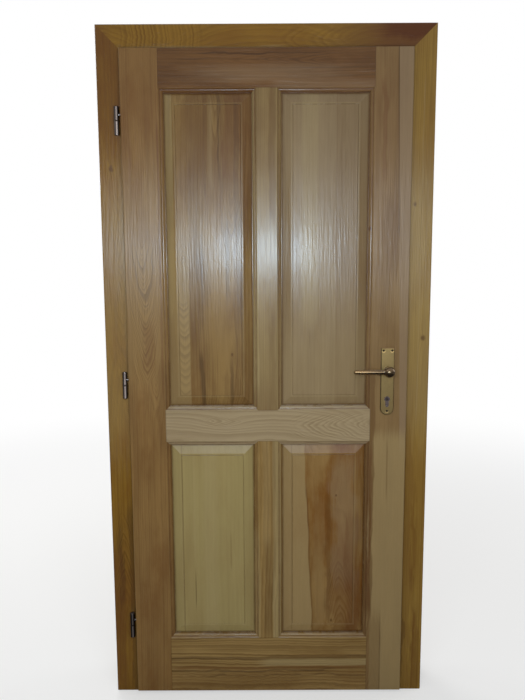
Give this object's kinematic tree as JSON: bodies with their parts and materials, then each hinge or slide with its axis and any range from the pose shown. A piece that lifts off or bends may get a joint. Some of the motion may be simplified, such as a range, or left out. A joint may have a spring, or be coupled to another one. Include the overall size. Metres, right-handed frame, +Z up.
{
  "type": "interior door with frame",
  "caption": "Solid wood rebated interior door with raised panels, hung in a lined frame with mitred casings, barrel hinges, mortise lock, long brass plates and levers.",
  "frame": {"origin": "on the floor, at the centre of the clear doorway, in the plane of the wall's face on the side that the leaf opens to", "axes": "+X along the wall towards the lock side, +Y into the wall, +Z up"},
  "size_m": [0.983, 0.237, 2.0615],
  "materials": {
    "frame_wood": "lacquered, glossy",
    "casing_wood": "lacquered, glossy",
    "leaf_wood": "lacquered, glossy",
    "panel_wood": "lacquered, glossy",
    "beech": "plain",
    "seal_rubber": "matt",
    "nickel": "satin nickel",
    "plug_nickel": "satin nickel",
    "zinc_steel": "zinc plated",
    "spring_steel": "bare spring steel",
    "satin_plate": "brass plated, satin",
    "plate_brass": "satin, lacquered",
    "lever_brass": "satin, lacquered",
    "bush_brass": "satin"
  },
  "bodies": {
    "frame": {"hinge_jamb": "frame_wood", "lock_jamb": "frame_wood", "head_jamb": "frame_wood", "front_casing_left": "casing_wood", "front_casing_right": "casing_wood", "front_casing_head": "casing_wood", "rear_casing_left": "frame_wood", "rear_casing_right": "frame_wood", "rear_casing_head": "frame_wood", "seal_left": "seal_rubber", "seal_right": "seal_rubber", "seal_head": "seal_rubber", "strike_plate": "satin_plate", "strike_plate_screws": "zinc_steel", "jamb_corner_screws": "zinc_steel", "mitre_biscuits": "beech", "frame_knuckle_bottom": "nickel", "frame_knuckle_middle": "nickel", "frame_knuckle_top": "nickel", "hinge_pins": "zinc_steel", "hinge_washers": "bush_brass"},
    "leaf": {"hinge_stile": "leaf_wood", "lock_stile": "leaf_wood", "top_rail": "leaf_wood", "middle_rail": "leaf_wood", "bottom_rail": "leaf_wood", "upper_mullion": "leaf_wood", "lower_mullion": "leaf_wood", "panel_upper_left": "panel_wood", "panel_upper_right": "panel_wood", "panel_lower_left": "panel_wood", "panel_lower_right": "panel_wood", "joint_dowels": "beech", "leaf_knuckle_bottom": "nickel", "leaf_knuckle_middle": "nickel", "leaf_knuckle_top": "nickel", "lock_case": "zinc_steel", "lock_cover": "zinc_steel", "forend": "satin_plate", "forend_screws": "zinc_steel", "front_plate": "plate_brass", "rear_plate": "plate_brass", "front_plate_screws": "bush_brass", "rear_plate_screws": "bush_brass", "cylinder_housing": "nickel", "cylinder_screw": "zinc_steel", "lever_bushes": "bush_brass", "latch_spring": "spring_steel", "follower_spring": "spring_steel"},
    "handle": {"front_lever": "lever_brass", "rear_lever": "lever_brass", "spindle": "zinc_steel", "follower": "zinc_steel", "grub_screws": "zinc_steel"},
    "latch": {"latch_bolt": "nickel"},
    "deadbolt_body": {"deadbolt": "nickel"},
    "front_cylinder_core": {"front_plug": "plug_nickel", "cam": "zinc_steel"},
    "rear_cylinder_core": {"rear_plug": "plug_nickel"}
  },
  "joints": [
    {"name": "door_swing", "type": "hinge", "parent": "frame", "child": "leaf", "pos_m": [-0.4345, -0.029, 0], "axis": [0, 0, -1], "range_deg": [0, 170]},
    {"name": "handle_turn", "type": "hinge", "parent": "leaf", "child": "handle", "pos_m": [0.3625, -0.009, 1.058], "axis": [0, -1, 0], "range_deg": [0, 40], "stiffness_Nm_per_rad": 1.5, "springref_deg": -28.65, "deforming": ["follower_spring"]},
    {"name": "latch_slide", "type": "slide", "parent": "leaf", "child": "latch", "axis": [-1, 0, 0], "range_m": [0, 0.0121], "deforming": ["latch_spring"]},
    {"name": "cylinder_turn", "type": "hinge", "parent": "leaf", "child": "front_cylinder_core", "pos_m": [0.3625, -0.009, 0.968], "axis": [0, -1, 0], "range_deg": [0, 360]},
    {"name": "deadbolt_slide", "type": "slide", "parent": "leaf", "child": "deadbolt_body", "axis": [1, 0, 0], "range_m": [0, 0.02]},
    {"name": "rear_cylinder_turn", "type": "hinge", "parent": "leaf", "child": "rear_cylinder_core", "pos_m": [0.3625, -0.009, 0.968], "axis": [0, 1, 0], "range_deg": [0, 360]}
  ],
  "couplings": [
    {"joint": "latch_slide", "follows": "handle_turn", "m_per_rad": 0.0173},
    {"joint": "cylinder_turn", "follows": "deadbolt_slide", "rad_per_m": 314.16}
  ]
}
